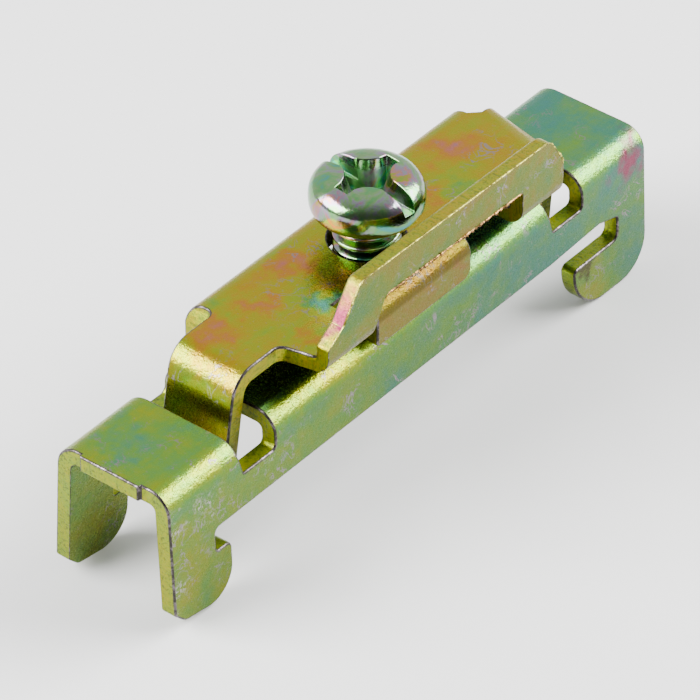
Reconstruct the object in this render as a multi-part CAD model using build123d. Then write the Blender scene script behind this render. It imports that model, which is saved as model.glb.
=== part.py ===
"""Clamp for the end of a row of terminal blocks on a 35 mm rail: a folded channel with hooks,
a bridging clamp plate with an upright stop fin, and a pan head screw that draws the two together.

Millimetres. X runs along the channel and across the rail, +Z is up, away from the rail.
The drawing level Z = 0 is the top of the channel's web, and the near end of the channel is X = 0.
At the end everything is moved so that the origin is the bottom centre of the bounding box.
"""
import math
import os

from build123d import *

os.makedirs("parts", exist_ok=True)

# base channel
sheet_t = 1.0                 # thickness of both folded sheets
channel_length = 43.26
front_gap = 0.70              # from the legs of the plate to the walls, at the level of the web
back_gap = 0.52
front_bend_r = 1.40           # outside radius of the long folds
back_bend_r = 1.55
wall_splay = 2.8              # degrees that each wall leans outwards
tongue_proud = 0.20           # the web stands out past the walls at the near end
tongue_half = 2.10

wall_edge_z = -4.42           # lower edge of the walls, which lies on the rail
lip_slot = 1.55               # height of the slot that the rail's lip enters
near_slot_x = 3.70            # closed end of the shallow slot
near_tip_x = 5.00             # point of the near hook
near_drop = 9.30              # the near hook's lowest level below the web
near_heel = 8.98              # its bottom rises to this at the heel
heel_cut = 0.80               # the heel's corner is cut off
far_slot_in = 2.74            # closed end of the deep slot, from the far end
far_slot_rise = 0.22          # the deep slot's roof is a little higher
far_slot_run = 4.60           # length over which that roof rises
far_slot_dip = 0.46           # and it falls again towards the closed end
far_slot_dip_run = 1.75
far_tip_in = 6.96             # point of the far hook, from the far end
far_drop = 9.50
far_finger_drop = 0.20        # the far finger's top is a little lower
far_corner_r = 2.35           # corners of the walls, in side view
far_finger_r = 2.90
far_tip_r = 0.40
far_slot_r = 0.50
far_roof_r = 0.15
near_roof_r = 0.40
near_slot_r = 0.25
near_tip_r = 0.45
near_finger_r = 1.90
near_sole = 2.10              # length of the near hook's flat bottom, with its round corner
near_heel_r = 0.70
near_end_r = 0.30

window_near_in = 5.97         # windows for the legs of the clamp plate, from the channel's ends
window_far_in = 6.08
window_length = 3.15
window_sill_z = -2.16         # the windows run down both walls to here
window_slant = 0.36           # their near edge slants in over the lowest part
window_slant_z = -0.80
window_corner_r = 0.35
window_near_r = 0.15

screw_offset = 0.195          # from the middle of the legs to the axis of the screw and both its holes
collar_r = 2.60               # drawn collar round the tapped hole, under the web
collar_flare = 0.15
collar_drop = 1.30
collar_edge_r = 0.20
bore_mouth = 0.30             # lead-in at the top of the tapped hole

# clamp plate
plate_top = 2.65              # top of the plate above the web
plate_bend_r = 1.25           # outside radius of the folds
neck_half = 2.35              # half the width of the legs and of the necks to them
leg_end_z = -5.40             # the legs' ends, which press on the rail's lips
near_leg_gap = 1.39           # from the near window's near edge to the leg, at the level of the web
near_leg_lean = 9.6           # degrees
near_leg_bend_r = 1.75        # outside radius where the near leg folds down
far_leg_gap = 0.33            # from the far leg to the far window's far edge
far_leg_turn = 0.18           # it stands further out than that at the back
far_leg_lean = 6.2            # degrees, to the same side
far_bend_front_r = 2.40       # its fold is wider in front, where the plate's shoulder stands back
far_bend_back_r = 1.15
leg_chamfer = 0.20            # at the legs' ends
near_neck = 4.24              # from the near leg to the shoulder, where the full width starts
far_neck_back = 0.74          # flat of the far neck, from the shoulder to the fold
far_neck_front = 0.37
neck_fillet = 0.60
neck_back_fillet = 0.50
neck_far_fillet = 0.40

flange_out = 0.33             # the fold along the back stands out past the channel by this
flange_bottom = 0.05
flange_start = -0.35          # its near end stands out past the shoulder
flange_step = 0.40            # this far below the top of the plate
flange_near_r = 0.30
flange_far_r = 0.80

fin_out = 1.50                # the stop fin stands out past the channel by this
fin_top = 6.68                # the fin's top edge falls towards the far end
fin_top_fall = 0.28
fin_start_in = 0.40           # the fin's ends, from the shoulders
fin_end_in = 0.79
fin_foot_top = 3.55           # height of the fin's near corner
fin_root_run = 1.30           # where the steep part of its near end starts
fin_root_z = 4.45
fin_top_near_run = 2.85
fin_top_far_run = 1.35
fin_far_knee = 4.30
foot_near = 4.15              # lengths of the feet; the fin's lower edge is free between them
foot_far = 3.80
notch_slant = 0.95
notch_top_near = 4.44
notch_top_far = 4.20
foot_corner_r = 0.20          # corners of the fin and its feet
root_corner_r = 0.50
top_near_r = 0.80
top_far_r = 0.90
knee_r = 1.60
fin_roll_r = 0.30             # the fin's top edge is rolled over on its inner side
notch_near_r = 0.50
notch_far_r = 0.20

tab_root = 1.55               # flat of the tab, from its fold in to the end of the opening behind the fin
slot_corner_r = 0.45
tab_root_r = 0.35             # where the tab's near edge leaves the plate
tab_near_gap = 1.45           # from the near foot to the tab that folds down in that opening
tab_length = 8.50
tab_out = 0.50                # it stands out past the channel by this
tab_bottom = -0.15
tab_near_r = 0.25
tab_far_r = 0.70
screw_clearance = 0.25        # round the thread, in the plate

# screw
thread_d = 4.00               # major diameter
thread_relief = 0.05          # the plain shank stands in for the thread's outline
bore_gap = 0.05               # round the shank, in the tapped hole
under_head_z = 4.80
head_d = 6.68
head_height = 2.40
screw_length = 10.00
screw_tip = 0.60              # chamfer at the screw's end
neck_r = 0.15                 # shank to head
slot_width = 1.20
slot_depth = 1.15
slot_angle = 83.0             # degrees from X
cross_span = 4.30
cross_width = 1.35
cross_corner_r = 0.50
cross_depth = 1.90
cross_taper = 15.0
recess_rise = 0.05            # the recess is drawn from just above the crown

# derived
front_y = -(neck_half + front_gap + sheet_t)
back_y = neck_half + back_gap + sheet_t
flange_y = back_y + flange_out
fin_y = front_y - fin_out
tab_y = front_y - tab_out
slot_edge_y = tab_y + plate_bend_r + tab_root
plate_inner_r = plate_bend_r - sheet_t
plate_bottom = plate_top - sheet_t
finger_z = wall_edge_z - lip_slot
far_finger_z = finger_z - far_finger_drop
far_roof_z = wall_edge_z + far_slot_rise
shank_r = thread_d / 2 - thread_relief
far_slot_x = channel_length - far_slot_in
far_tip_x = channel_length - far_tip_in
window_far_x = channel_length - window_far_in
window_starts = (window_near_in, window_far_x - window_length)
near_leg_x = window_near_in + near_leg_gap
far_leg_x = window_far_x - far_leg_gap
screw_x = (near_leg_x + far_leg_x) / 2 + screw_offset
reach = channel_length        # longer than anything that it cuts
lap = 0.5                     # length over which two shapes overlap before they are joined


def polygon(points, radii=None):
    """Face in XY through the points, with the numbered corners rounded.

    Args:
        points: corner positions, in order.
        radii: corner number to its radius.

    Returns:
        The face.
    """
    face = make_face(Polyline(*points, close=True))
    for number, radius in (radii or {}).items():
        x, y = points[number]
        corner = min(face.vertices(), key=lambda v: math.hypot(v.X - x, v.Y - y))
        face = fillet(corner, radius)
    return face


def along_y(face, y0, y1):
    """Solid of a side view drawn as (X, Z), from y0 to y1."""
    plane = Plane(origin=(0, y1, 0), x_dir=(1, 0, 0), z_dir=(0, -1, 0))
    return extrude(plane * face, amount=y1 - y0)


def along_x(face, x0, x1):
    """Solid of a cross section drawn as (Y, Z), from x0 to x1."""
    plane = Plane(origin=(x0, 0, 0), x_dir=(0, 1, 0), z_dir=(1, 0, 0))
    return extrude(plane * face, amount=x1 - x0)


def along_z(face, z0, z1):
    """Solid of a plan drawn as (X, Y), from z0 to z1."""
    return extrude(Plane(origin=(0, 0, z0)) * face, amount=z1 - z0)


def base_channel():
    """Folded channel: web, two leaning walls, hooks, windows and the drawn collar."""
    drop = far_drop + 1.0
    slope = math.tan(math.radians(wall_splay))
    lean = sheet_t / math.cos(math.radians(wall_splay))
    # inner corners, where the walls' inner faces meet the underside of the web
    front_in, back_in = front_y - sheet_t * slope + lean, back_y + sheet_t * slope - lean
    section = polygon(
        [(front_y - drop * slope, -drop), (front_y, 0), (back_y, 0), (back_y + drop * slope, -drop),
         (back_y + drop * slope - lean, -drop), (back_in, -sheet_t), (front_in, -sheet_t),
         (front_y - drop * slope + lean, -drop)],
        {1: front_bend_r, 2: back_bend_r, 5: back_bend_r - sheet_t, 6: front_bend_r - sheet_t})
    body = along_x(section, 0, channel_length)

    dip_x = far_slot_x - far_slot_dip_run
    side = polygon(
        [(0, 2), (channel_length, 2), (channel_length, -far_drop),
         (far_tip_x, -far_drop), (far_tip_x, far_finger_z), (far_slot_x, far_finger_z),
         (far_slot_x, far_roof_z - far_slot_dip), (dip_x, far_roof_z), (dip_x - far_slot_run, wall_edge_z),
         (near_slot_x, wall_edge_z), (near_slot_x, finger_z), (near_tip_x, finger_z),
         (near_tip_x, -near_drop), (near_tip_x - near_sole, -near_drop), (heel_cut, -near_heel),
         (0, heel_cut - near_heel)],
        {2: far_corner_r, 3: far_finger_r, 4: far_tip_r, 5: far_slot_r, 6: far_roof_r, 9: near_roof_r,
         10: near_slot_r, 11: near_tip_r, 12: near_finger_r, 14: near_heel_r, 15: near_end_r})
    body = body & along_y(side, -reach, reach)
    body += Pos(-tongue_proud / 2, 0, -sheet_t / 2) * Box(tongue_proud, 2 * tongue_half, sheet_t)

    for start in window_starts:
        stop = start + window_length
        window = polygon(
            [(start + window_slant, window_sill_z), (stop, window_sill_z), (stop, 2), (start, 2),
             (start, window_slant_z)], {0: window_near_r, 1: window_corner_r})
        body -= along_y(window, -reach, reach)

    low = -sheet_t - collar_drop
    foot_r = collar_r + collar_flare
    ring = polygon(
        [(0, -sheet_t / 2), (foot_r, -sheet_t / 2), (foot_r, -sheet_t), (collar_r, -sheet_t - collar_flare),
         (collar_r, low), (0, low)], {4: collar_edge_r})
    body += Pos(screw_x, 0, 0) * revolve(Plane.XZ * ring, Axis.Z)
    bore_r = shank_r + bore_gap
    bore = along_z(Pos(screw_x, 0) * Circle(bore_r), low - 1, 1)
    mouth = Pos(screw_x, 0, -bore_mouth / 2) * Cone(bore_r, bore_r + bore_mouth, bore_mouth)
    return body - bore - mouth


def clamp_plate():
    """Clamp plate: flat bridge, two legs, back flange, folded-down tab and upright fin."""
    t, z0, z1 = sheet_t, plate_bottom, plate_top
    a, b = math.tan(math.radians(near_leg_lean)), math.tan(math.radians(far_leg_lean))
    ta, tb = t / math.cos(math.radians(near_leg_lean)), t / math.cos(math.radians(far_leg_lean))
    e = leg_end_z
    mid = screw_x + 2 * thread_d

    def near(z):
        return near_leg_x + a * z

    def far(z, out):
        return far_leg_x + out + b * z

    def fold_start(r, out):
        return far(z1, out) - r / math.tan(math.radians(90 - far_leg_lean) / 2)

    strip = polygon(
        [(near(e), e), (near(z1), z1), (mid, z1), (mid, z0), (near(z0) + ta, z0), (near(e) + ta, e)],
        {1: near_leg_bend_r, 4: near_leg_bend_r - t})
    body = along_y(strip, -neck_half, neck_half)

    # far leg, whose fold widens from back to front
    sections = []
    for y, r, out in ((-neck_half, far_bend_front_r, 0.0), (neck_half, far_bend_back_r, far_leg_turn)):
        face = polygon(
            [(mid, z1), (far(z1, out), z1), (far(e, out), e), (far(e, out) - tb, e),
             (far(z0, out) - tb, z0), (mid, z0)], {1: r, 4: r - t})
        sections.append(Plane(origin=(0, y, 0), x_dir=(1, 0, 0), z_dir=(0, -1, 0)) * face)
    body += loft(sections, ruled=True)
    ends = body.edges().filter_by(lambda k: abs(k.center().Z - e) < 0.01 and k.length > neck_half)
    body = chamfer(ends, leg_chamfer)

    # the flat of the plate, with the opening behind the fin and the root of the tab
    edge = fin_y + plate_bend_r
    back = flange_y - plate_bend_r
    tab_edge = tab_y + plate_bend_r
    shoulder_near_x = near_leg_x + near_neck
    shoulder_far_x = fold_start(far_bend_back_r, far_leg_turn) - far_neck_back
    shoulder_front_x = fold_start(far_bend_front_r, 0) - far_neck_front
    near_lap_x = shoulder_near_x - 4 * lap
    fin_start_x = shoulder_near_x + fin_start_in
    fin_end_x = shoulder_front_x - fin_end_in
    notch_near_x = fin_start_x + foot_near
    notch_far_x = fin_end_x - foot_far
    tab_near_x = notch_near_x + tab_near_gap
    tab_far_x = tab_near_x + tab_length
    plan = polygon(
        [(near_lap_x, -neck_half), (shoulder_near_x, -neck_half), (fin_start_x, edge),
         (notch_near_x, edge), (notch_near_x, slot_edge_y), (tab_near_x, slot_edge_y),
         (tab_near_x, tab_edge), (tab_far_x, tab_edge), (tab_far_x, slot_edge_y),
         (notch_far_x, slot_edge_y), (notch_far_x, edge), (fin_end_x, edge),
         (shoulder_front_x, -neck_half), (shoulder_front_x + far_neck_front * 7 / 8, -neck_half),
         (shoulder_far_x + back - neck_half, neck_half), (shoulder_far_x, back), (shoulder_near_x, back),
         (shoulder_near_x, neck_half), (near_lap_x, neck_half)],
        {1: neck_fillet, 4: slot_corner_r, 5: tab_root_r, 8: slot_corner_r, 9: slot_corner_r,
         12: neck_far_fillet, 17: neck_back_fillet})
    body += along_z(plan, z0, z1)

    # fold and flange along the back
    c = z1 - plate_bend_r
    flange = polygon(
        [(back - lap, z1), (flange_y, z1), (flange_y, flange_bottom), (flange_y - t, flange_bottom),
         (flange_y - t, z0), (back - lap, z0)], {1: plate_bend_r, 4: plate_inner_r})
    flange = along_x(flange, shoulder_near_x + flange_start, shoulder_far_x)
    side = polygon(
        [(shoulder_near_x, z1 + 1), (shoulder_near_x, z1 - flange_step), (shoulder_near_x + flange_start, c),
         (shoulder_near_x + flange_start, flange_bottom - 1), (shoulder_far_x, flange_bottom - 1),
         (shoulder_far_x, z1 + 1)])
    low = polygon(
        [(shoulder_near_x - 1, z1 + 1), (shoulder_near_x - 1, flange_bottom), (shoulder_far_x, flange_bottom),
         (shoulder_far_x, z1 + 1)], {1: flange_near_r, 2: flange_far_r})
    body += flange & along_y(side, 0, reach) & along_y(low, 0, reach)

    # tab folded down in the middle of the front
    tab = polygon(
        [(tab_edge + lap, z1), (tab_y, z1), (tab_y, tab_bottom), (tab_y + t, tab_bottom),
         (tab_y + t, z0), (tab_edge + lap, z0)], {1: plate_bend_r, 4: plate_inner_r})
    tab = along_x(tab, tab_near_x, tab_far_x)
    side = polygon(
        [(tab_near_x, z1 + 1), (tab_near_x, tab_bottom), (tab_far_x, tab_bottom), (tab_far_x, z1 + 1)],
        {1: tab_near_r, 2: tab_far_r})
    body += tab & along_y(side, -reach, 0)

    # feet folded up into the fin
    rise = polygon(
        [(edge + lap, z0), (fin_y, z0), (fin_y, fin_top + 1), (fin_y + t, fin_top + 1),
         (fin_y + t, z1), (edge + lap, z1)], {1: plate_bend_r, 4: plate_inner_r})
    rise = along_x(rise, fin_start_x, fin_end_x)
    outline = polygon(
        [(fin_start_x, z0 - 1), (fin_start_x, fin_foot_top), (fin_start_x + fin_root_run, fin_root_z),
         (fin_start_x + fin_top_near_run, fin_top), (fin_end_x - fin_top_far_run, fin_top - fin_top_fall),
         (fin_end_x, fin_far_knee), (fin_end_x, z0 - 1),
         (notch_far_x, z0 - 1), (notch_far_x, notch_top_far),
         (notch_near_x + notch_slant, notch_top_near), (notch_near_x, z1), (notch_near_x, z0 - 1)],
        {1: foot_corner_r, 2: root_corner_r, 3: top_near_r, 4: top_far_r, 5: knee_r, 8: notch_far_r,
         9: notch_near_r})
    body += rise & along_y(outline, -reach, 0)
    rolled = body.edges().filter_by(lambda k: k.center().Z > fin_root_z and all(
        abs(v.Y - fin_y - t) < 0.001 and v.Z > fin_far_knee + knee_r / 2 for v in k.vertices()))
    body = fillet(rolled, fin_roll_r)

    hole = Pos(screw_x, 0, (z0 + z1) / 2) * Cylinder(thread_d / 2 + screw_clearance, 3 * t)
    return body - hole


def clamp_screw():
    """Pan head screw with a cross recess whose one pair of arms runs out as a slot."""
    r, h, z = head_d / 2, head_height, under_head_z
    end = z - screw_length
    # from the underside's rim to the crown, as shares of the head's radius and height
    crown = ((0.885, 0), (0.955, 0.06), (0.992, 0.2), (1.0, 0.38), (0.988, 0.56), (0.945, 0.71), (0.87, 0.83),
             (0.76, 0.92), (0.62, 0.975), (0.45, 0.995), (0, 1))
    rim = [(u * r, z + w * h) for u, w in crown]
    with BuildLine() as outline:
        Polyline((0, end), (shank_r - screw_tip, end), (shank_r, end + screw_tip), (shank_r, z - neck_r),
                 (shank_r + neck_r, z), rim[0])
        Spline(*rim, tangents=((1, 0.4), (-1, 0)), tangent_scalars=(0.6, 1.0))
        Line(rim[-1], (0, end))
    profile = Plane.XZ * make_face(outline.line)
    body = revolve(profile, Axis.Z)

    top = z + h
    slot = Pos(0, 0, top) * Box(3 * r, slot_width, 2 * slot_depth)
    arms = Rectangle(cross_span, cross_width) + Rectangle(cross_width, cross_span)
    arms = fillet(arms.vertices().filter_by(
        lambda v: abs(abs(v.X) - cross_width / 2) < 0.01 and abs(abs(v.Y) - cross_width / 2) < 0.01),
        cross_corner_r)
    recess = extrude(Pos(0, 0, top + recess_rise) * arms, amount=-cross_depth, taper=cross_taper)
    body = body - Rot(0, 0, slot_angle) * slot - Rot(0, 0, slot_angle) * recess
    return Pos(screw_x, 0, 0) * body


nodes = {"base_channel": base_channel(), "clamp_plate": clamp_plate(), "clamp_screw": clamp_screw()}
box = Compound(children=[Part(n.wrapped) for n in nodes.values()]).bounding_box()
shift = Pos(-(box.min.X + box.max.X) / 2, -(box.min.Y + box.max.Y) / 2, -box.min.Z)
print("moved by", [round(v, 4) for v in shift.position], "size", [round(v, 3) for v in box.size])
for name, node in nodes.items():
    moved = shift * node
    solids = moved.solids()
    print(name, "solids", len(solids), "volume", round(moved.volume, 2), "valid", moved.is_valid)
    export_step(solids[0] if len(solids) == 1 else moved, f"parts/{name}.step")
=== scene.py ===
"""Visual model of a clamp that ends a row of terminal blocks on a 35 mm rail.

The solids of the frame give every shape its place. This script dresses them: the two folded sheets get
rolled and ragged edges and an iridescent film over zinc, the screw gets its thread, and a plain studio
lights them. Lengths in the classes are millimetres in the frame's axes unless a name says otherwise.
"""

import logging
import math
from dataclasses import dataclass, field
from enum import Enum

import bmesh
import bpy
import numpy as np
from mathutils import Matrix


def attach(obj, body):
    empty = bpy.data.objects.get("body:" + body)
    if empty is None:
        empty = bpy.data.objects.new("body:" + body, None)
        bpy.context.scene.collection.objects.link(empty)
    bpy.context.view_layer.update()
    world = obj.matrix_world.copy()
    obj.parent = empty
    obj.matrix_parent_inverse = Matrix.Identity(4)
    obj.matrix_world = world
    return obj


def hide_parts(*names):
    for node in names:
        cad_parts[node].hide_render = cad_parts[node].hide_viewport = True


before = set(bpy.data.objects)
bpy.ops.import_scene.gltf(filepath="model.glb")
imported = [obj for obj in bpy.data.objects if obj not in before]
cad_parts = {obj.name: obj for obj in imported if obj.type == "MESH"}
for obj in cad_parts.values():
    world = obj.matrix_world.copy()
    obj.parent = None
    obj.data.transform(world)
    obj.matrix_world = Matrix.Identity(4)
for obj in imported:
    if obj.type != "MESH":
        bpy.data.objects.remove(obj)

MM = 0.001
FACING = 0.9  # share of a normal along an axis that its face looks along
SQUARE = 0.02  # share of a normal along an axis that its face stands square to
log = logging.getLogger("clamp")

Vec3 = tuple[float, float, float]
Spots = tuple[tuple[Vec3, float], ...]  # centres with radii
Patches = tuple[tuple[Vec3, float, float], ...]  # centres with radii and amounts
Boxes = tuple[tuple[Vec3, Vec3], ...]  # low corners with high corners
Stops = tuple[tuple[float, Vec3], ...]  # positions with linear colours
Socket = bpy.types.NodeSocket
Input = Socket | float | tuple[float, ...]
Inputs = dict[str | int, Input]  # by name or by number

# The colours that a thin clear film over zinc goes through as it gets thicker, in linear light.
FILM: Stops = (
    (0.00, (0.045, 0.165, 0.165)),
    (0.14, (0.050, 0.19, 0.11)),
    (0.30, (0.105, 0.235, 0.034)),
    (0.44, (0.195, 0.245, 0.008)),
    (0.58, (0.275, 0.20, 0.006)),
    (0.70, (0.32, 0.145, 0.014)),
    (0.82, (0.32, 0.110, 0.070)),
    (0.92, (0.20, 0.115, 0.165)),
    (1.00, (0.085, 0.16, 0.19)),
)
SECOND_RED: Vec3 = (0.15, 0.024, 0.050)  # where the film is thicker still
VEIN: Vec3 = (0.19, 0.16, 0.17)
SPECK: Vec3 = (0.21, 0.18, 0.18)
# colour of real stains, and of the painted shade in the shade boxes
STAIN_AND_SHADE: Vec3 = (0.040, 0.033, 0.004)
BARE_ZINC: Vec3 = (0.34, 0.31, 0.30)
# painted shade in the pits of the cut faces' relief
PIT_SHADE: Vec3 = (0.055, 0.048, 0.014)


class Across(Enum):
    """Axis that the sheet's thickness runs along, which is the way the shearing marks run."""

    X = 0
    Y = 1
    Z = 2


class Tree:
    """A shader's nodes, with short ways to add to them."""

    def __init__(self, tree: bpy.types.NodeTree) -> None:
        """Takes over a tree."""
        self.tree = tree

    def add(self, kind: str, inputs: Inputs | None = None, **settings: object) -> bpy.types.Node:
        """Adds a node.

        Args:
            kind: the node's type.
            inputs: outputs to link into it and plain values to set on it.
            **settings: its properties.

        Returns:
            The node.
        """
        node = self.tree.nodes.new(kind)
        for key, value in settings.items():
            setattr(node, key, value)
        for key, value in (inputs or {}).items():
            if isinstance(value, Socket):
                self.tree.links.new(value, node.inputs[key])
            else:
                node.inputs[key].default_value = value
        return node

    def math(self, operation: str, a: Input, b: Input = 0.0, clamp: bool = False) -> Socket:
        """Result of one arithmetic node."""
        return self.add("ShaderNodeMath", {0: a, 1: b}, operation=operation, use_clamp=clamp).outputs[0]

    def plus(self, total: Input, value: Input, gain: float, clamp: bool = False) -> Socket:
        """A total and a value times a gain."""
        return self.math("ADD", total, self.math("MULTIPLY", value, gain), clamp)

    def vary(self, total: Input, noise: Socket, swing: float, clamp: bool = False) -> Socket:
        """A total that a noise swings up and down."""
        return self.plus(total, self.math("SUBTRACT", noise, 0.5), 2 * swing, clamp)

    def vector(self, operation: str, *inputs: Input) -> bpy.types.Node:
        """Node of vector arithmetic."""
        return self.add("ShaderNodeVectorMath", dict(enumerate(inputs)), operation=operation)

    def remap(self, value: Input, low: float, high: float, to_low: float = 0.0,
              to_high: float = 1.0) -> Socket:
        """Value smoothly stepped from low..high to to_low..to_high."""
        limits = {"From Min": low, "From Max": high, "To Min": to_low, "To Max": to_high}
        return self.add("ShaderNodeMapRange", {"Value": value, **limits},
                        interpolation_type="SMOOTHSTEP").outputs["Result"]


class Nodes(Tree):
    """One material's nodes. Positions are the object's own, in millimetres."""

    STRAY = 2.2  # half the swing of the noise that bends the spots

    def __init__(self, name: str) -> None:
        """Starts an empty material.

        Args:
            name: the material's name.
        """
        self.material = bpy.data.materials.new(name)
        self.material.use_nodes = True
        super().__init__(self.material.node_tree)
        self.tree.nodes.clear()
        self.coords = self.add("ShaderNodeTexCoord")
        self.stray: Socket | None = None

    def place(self, scale: Vec3 = (1.0, 1.0, 1.0), turn: float = 0.0,
              shift: Vec3 = (0.0, 0.0, 0.0)) -> Socket:
        """Position, scaled, turned about Z (degrees) and shifted."""
        return self.add("ShaderNodeMapping", {
            "Vector": self.coords.outputs["Object"], "Scale": tuple(s / MM for s in scale),
            "Rotation": (0.0, 0.0, math.radians(turn)), "Location": shift}).outputs["Vector"]

    def noise(self, vector: Socket, scale: float, detail: float = 2.0, rough: float = 0.5,
              twist: float = 0.0) -> Socket:
        """Noise of about 0.5 on average, with `scale` features in a millimetre."""
        return self.add("ShaderNodeTexNoise", {
            "Vector": vector, "Scale": scale, "Detail": detail, "Roughness": rough,
            "Distortion": twist}).outputs["Fac"]

    def axes(self) -> tuple[Socket, ...]:
        """The position's three numbers."""
        return tuple(self.add("ShaderNodeSeparateXYZ", {0: self.place()}).outputs)

    def ramp(self, value: Input, stops: Stops) -> Socket:
        """Colour that follows a value.

        Args:
            value: the value.
            stops: the colours that it goes through.

        Returns:
            The colour.
        """
        node = self.add("ShaderNodeValToRGB", {"Fac": value})
        elements = node.color_ramp.elements
        while len(elements) < len(stops):
            elements.new(0.5)
        for element, (position, colour) in zip(elements, stops):
            element.position = position
            element.color = (*colour, 1.0)
        return node.outputs["Color"]

    def strayed(self) -> Socket:
        """Position that strays by up to about a millimetre, made once.

        Returns:
            The position.
        """
        if self.stray is None:
            wander = self.noise(self.place(), 0.8, 3.0).node.outputs["Color"]
            shift = self.vector("MULTIPLY_ADD", wander, (2 * self.STRAY,) * 3, (-self.STRAY,) * 3)
            self.stray = self.vector("ADD", self.place(), shift.outputs[0]).outputs[0]
        return self.stray

    def spot(self, centre: Vec3, radius: float) -> Socket:
        """1 at a point of the object, falling smoothly to 0 at the radius."""
        return self.remap(self.vector("DISTANCE", self.strayed(), centre).outputs["Value"], radius, 0.0)

    def spots(self, places: Spots, share: Input = 0.0) -> Input:
        """The most of a share and some spots.

        Args:
            places: the spots.
            share: the share.

        Returns:
            The most of them.
        """
        for centre, radius in places:
            share = self.math("MAXIMUM", share, self.spot(centre, radius))
        return share

    def patches(self, film: Input, places: Patches) -> Input:
        """Film that is thicker or thinner in places.

        Args:
            film: the film's thickness.
            places: where it changes, and by how much.

        Returns:
            The new thickness.
        """
        for centre, radius, amount in places:
            film = self.plus(film, self.spot(centre, radius), amount)
        return film

    def block(self, low: Vec3, high: Vec3, soft: float = 0.3) -> Input:
        """1 inside a box, falling smoothly to 0 around it.

        Args:
            low: the box's low corner.
            high: its high corner.
            soft: how far it falls, in millimetres.

        Returns:
            The share.
        """
        share: Input = 1.0
        for axis, start, end in zip(self.axes(), low, high):
            share = self.math("MULTIPLY", share, self.remap(axis, start - soft, start))
            share = self.math("MULTIPLY", share, self.remap(axis, end + soft, end))
        return share

    def mix(self, share: Input, a: Input, b: Input, blend: str = "MIX") -> Socket:
        """Colour a, with a share of colour b over it."""
        a, b = (colour if isinstance(colour, Socket) else (*colour, 1.0) for colour in (a, b))
        return self.add("ShaderNodeMix", {"Factor": share, 6: a, 7: b},
                        data_type="RGBA", blend_type=blend).outputs[2]

    def over(self, colour: Socket, share: Input, strength: float, tint: Vec3) -> Socket:
        """Colour with a tint over it, by a share times a strength, 1 at most."""
        return self.mix(self.math("MULTIPLY", share, strength), colour, tint)

    def metal(self, colour: Input, roughness: Input, height: Input) -> bpy.types.Material:
        """Material of bare metal from its colour, its roughness and its relief in millimetres."""
        bump = self.add("ShaderNodeBump", {"Strength": 1.0, "Distance": MM, "Height": height})
        return self.close({"Metallic": 1.0, "Base Color": colour, "Roughness": roughness,
                           "Normal": bump.outputs["Normal"]})

    def close(self, inputs: Inputs) -> bpy.types.Material:
        """Ends the tree with its surface.

        Args:
            inputs: what goes into the surface.

        Returns:
            The finished material.
        """
        shader = self.add("ShaderNodeBsdfPrincipled", inputs)
        self.add("ShaderNodeOutputMaterial", {"Surface": shader.outputs[0]})
        return self.material


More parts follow.
